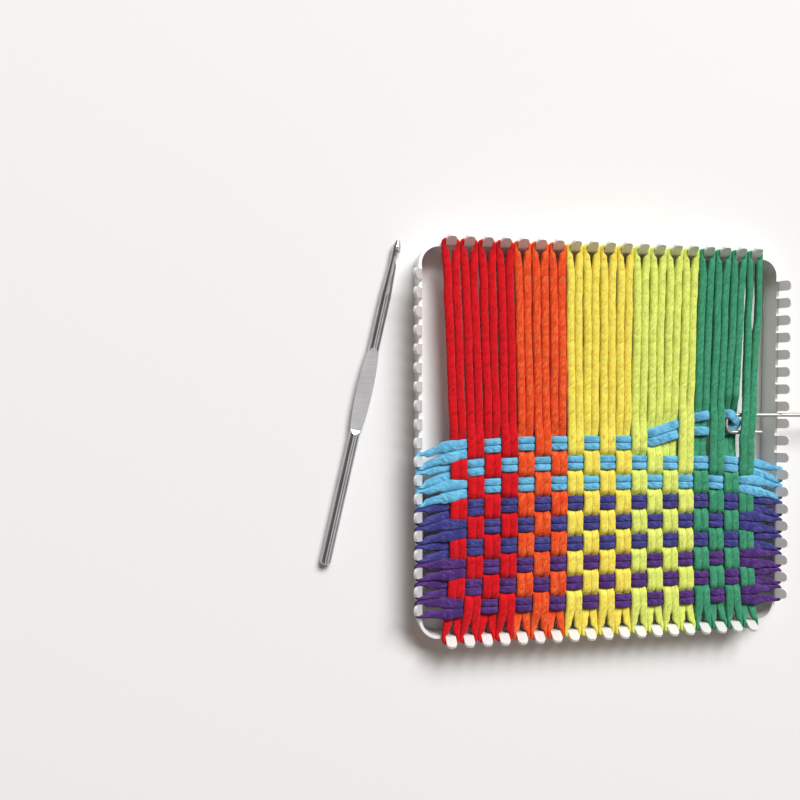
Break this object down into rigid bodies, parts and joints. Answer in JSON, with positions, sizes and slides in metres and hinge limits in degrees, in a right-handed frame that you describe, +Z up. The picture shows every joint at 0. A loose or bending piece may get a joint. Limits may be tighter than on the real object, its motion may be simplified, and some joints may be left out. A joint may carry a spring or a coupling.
{
  "type": "potholder loom",
  "caption": "Square bent-steel loom with flared pegs along every side, partly woven with stretched cotton loops, a wire weaving hook in the weave and a crochet hook beside it.",
  "frame": {"origin": "middle of the square frame, on the surface that its lower edge stands on", "axes": "+Z up; +Y to the side where the warp is still bare; +X to the side that the weaving hook leaves by"},
  "size_m": [0.3292, 0.1844, 0.0185],
  "materials": {
    "frame_enamel": "white powder coat, satin",
    "cotton_red": "knitted cotton, matt and slightly heathered",
    "cotton_orange": "knitted cotton, matt and slightly heathered",
    "cotton_yellow": "knitted cotton, matt and slightly heathered",
    "cotton_lime": "knitted cotton, matt and slightly heathered",
    "cotton_green": "knitted cotton, matt and slightly heathered",
    "cotton_sky": "knitted cotton, matt and slightly heathered",
    "cotton_indigo": "knitted cotton, matt and slightly heathered",
    "cotton_purple": "knitted cotton, matt and slightly heathered",
    "hook_wire": "drawn wire, bright",
    "crochet_steel": "polished, slightly worn"
  },
  "bodies": {
    "loom": {"loom_frame": "frame_enamel", "warp_loop_01": "cotton_red", "warp_loop_02": "cotton_red", "warp_loop_03": "cotton_red", "warp_loop_04": "cotton_red", "warp_loop_05": "cotton_orange", "warp_loop_06": "cotton_orange", "warp_loop_07": "cotton_orange", "warp_loop_08": "cotton_yellow", "warp_loop_09": "cotton_yellow", "warp_loop_10": "cotton_yellow", "warp_loop_11": "cotton_yellow", "warp_loop_12": "cotton_lime", "warp_loop_13": "cotton_lime", "warp_loop_14": "cotton_lime", "warp_loop_15": "cotton_lime", "warp_loop_16": "cotton_green", "warp_loop_17": "cotton_green", "warp_loop_18": "cotton_green", "warp_loop_19": "cotton_green", "weft_loop_1": "cotton_purple", "weft_loop_2": "cotton_purple", "weft_loop_3": "cotton_purple", "weft_loop_4": "cotton_indigo", "weft_loop_5": "cotton_indigo", "weft_loop_6": "cotton_indigo", "weft_loop_7": "cotton_sky", "weft_loop_8": "cotton_sky", "weft_loop_9": "cotton_sky"},
    "weaving_hook": {"weaving_hook": "hook_wire"},
    "crochet_hook": {"crochet_hook": "crochet_steel"}
  },
  "joints": [
    {"name": "hook_draw", "type": "slide", "parent": "loom", "child": "weaving_hook", "axis": [1, 0, 0], "range_m": [0, 0.018], "deforming": ["weft_loop_9"]},
    {"name": "crochet_lift", "type": "slide", "parent": "loom", "child": "crochet_hook", "axis": [0, 0, 1], "range_m": [0, 0.05]}
  ]
}
